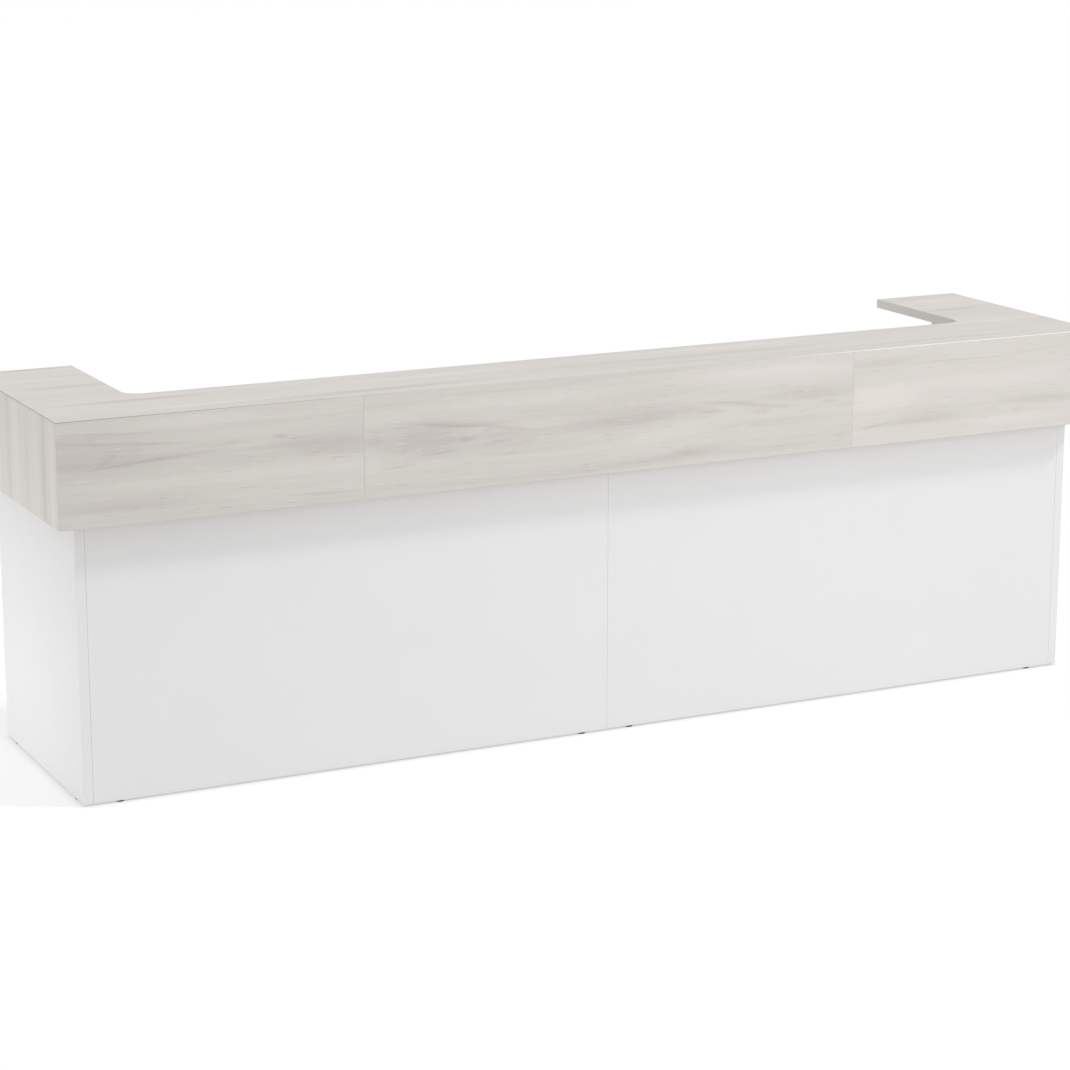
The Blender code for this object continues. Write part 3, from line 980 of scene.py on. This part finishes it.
# Floor: a plain white studio floor, not part of the counter. Most of its white is its own glow, as
# of a lit table, so that it keeps only a faint shadow and throws an even light up at the base. The
# glow dims where a board stands just over it, which keeps the dark line under the panels.
FLOOR_SIZE = 60.0
FLOOR_WHITE = "#F4F4F4"
GLOW_LEVEL = 1.09
GLOW_UNDER_BOARDS = 0.60
BOARD_REACH = 0.030  # how near a board has to be to dim the glow
SHADOW_SHARE = 0.45
NEARNESS_RAYS = 8

bpy.ops.mesh.primitive_plane_add(size=FLOOR_SIZE)
floor = bpy.context.object
floor.name = "studio_floor"
floor_paint = new_material("studio_floor_paint")
paint = add_node(floor_paint, "ShaderNodeBsdfDiffuse", {"Color": linear(FLOOR_WHITE)})
open_above = add_node(
    floor_paint, "ShaderNodeAmbientOcclusion", {"Distance": BOARD_REACH}, samples=NEARNESS_RAYS,
)
dimmed = add_node(
    floor_paint, "ShaderNodeMapRange",
    {"Value": open_above["AO"], "To Min": GLOW_LEVEL * GLOW_UNDER_BOARDS, "To Max": GLOW_LEVEL},
)
glow = add_node(
    floor_paint, "ShaderNodeEmission", {"Color": linear("#FFFFFF"), "Strength": dimmed["Result"]},
)
both = add_node(
    floor_paint, "ShaderNodeMixShader", {0: SHADOW_SHARE, 1: glow["Emission"], 2: paint["BSDF"]},
)
add_node(floor_paint, "ShaderNodeOutputMaterial", {"Surface": both["Shader"]})
floor.data.materials.append(floor_paint)


# Light: a white studio that is brightest overhead, one high soft lamp from the right, a soft box in
# front and a small one low at the left end. Reflections and the camera see plain white all round.
HORIZON_LEVEL = 0.32
ZENITH_GAIN = 0.64
SUN_LEVEL = 1.07
SUN_ANGLE = 7
SUN_FROM = (0.617, -0.308, 0.7245)
FRONT_BOX_AT = (1.35, -3.8, 1.7)
FRONT_BOX_TARGET = (1.35, -0.4, 0.6)
FRONT_BOX_SIZE = 1.5
FRONT_BOX_POWER = 24.0
LEFT_BOX_AT = (-2.75, 0.27, 0.18)
LEFT_BOX_TARGET = (-1.75, 0.27, -0.184)
LEFT_BOX_SIZE = 0.3
LEFT_BOX_POWER = 4.2

world = bpy.data.worlds.new("studio")
bpy.context.scene.world = world
world.use_nodes = True
world.node_tree.nodes.clear()
place = add_node(world, "ShaderNodeTexCoord")
height = add_node(world, "ShaderNodeSeparateXYZ", {"Vector": place["Generated"]})
above = add_node(world, "ShaderNodeMath", {0: height["Z"], 1: 0.0}, operation="MAXIMUM")
level = add_node(
    world, "ShaderNodeMath",
    {0: above["Value"], 1: ZENITH_GAIN, 2: HORIZON_LEVEL}, operation="MULTIPLY_ADD",
)
path = add_node(world, "ShaderNodeLightPath")
mirrored = add_node(
    world, "ShaderNodeMath",
    {0: path["Is Camera Ray"], 1: path["Is Glossy Ray"]}, operation="MAXIMUM",
)
seen = add_node(
    world, "ShaderNodeMath",
    {0: mirrored["Value"], 1: path["Is Transmission Ray"]}, operation="MAXIMUM",
)
strength = add_node(
    world, "ShaderNodeMix",
    {"Factor_Float": seen["Value"], "A_Float": level["Value"], "B_Float": 1.0},
)
studio = add_node(
    world, "ShaderNodeBackground",
    {"Color": linear("#FFFFFF"), "Strength": strength["Result_Float"]},
)
add_node(world, "ShaderNodeOutputWorld", {"Surface": studio["Background"]})

lamp = bpy.data.lights.new("high_right_lamp", "SUN")
lamp.energy = SUN_LEVEL
lamp.angle = math.radians(SUN_ANGLE)
sun = bpy.data.objects.new("high_right_lamp", lamp)
sun.rotation_euler = Vector(SUN_FROM).to_track_quat("Z", "Y").to_euler()
bpy.context.scene.collection.objects.link(sun)


def soft_box(name, place, target, size, power):
    """A square soft box that faces its target and that the camera doesn't see."""
    lamp = bpy.data.lights.new(name, "AREA")
    lamp.size = size
    lamp.energy = power
    box = bpy.data.objects.new(name, lamp)
    box.location = place
    box.rotation_euler = (Vector(place) - Vector(target)).to_track_quat("Z", "Y").to_euler()
    box.visible_camera = False
    bpy.context.scene.collection.objects.link(box)


soft_box("front_soft_box", FRONT_BOX_AT, FRONT_BOX_TARGET, FRONT_BOX_SIZE, FRONT_BOX_POWER)
soft_box("left_soft_box", LEFT_BOX_AT, LEFT_BOX_TARGET, LEFT_BOX_SIZE, LEFT_BOX_POWER)


# Camera: at standing height, in front and to the left, with a long lens.
FOCAL_PIXELS = 3016.4  # the photograph's focal length in its own 1070 pixel frame
FRAME_PIXELS = 1070
SENSOR = 36.0
CAMERA_AT = (-3.992, -8.016, 2.692)
CAMERA_YAW = 26.055
CAMERA_PITCH = 13.582
CAMERA_SEES_TO = 200.0  # well past the floor's far edge

view = bpy.data.cameras.new("camera")
view.sensor_width = SENSOR
view.lens = FOCAL_PIXELS / FRAME_PIXELS * SENSOR
view.clip_end = CAMERA_SEES_TO
camera = bpy.data.objects.new("camera", view)
camera.location = CAMERA_AT
camera.rotation_euler = (math.radians(90 - CAMERA_PITCH), 0, math.radians(-CAMERA_YAW))
bpy.context.scene.collection.objects.link(camera)
bpy.context.scene.camera = camera
bpy.context.scene.view_settings.view_transform = "Standard"
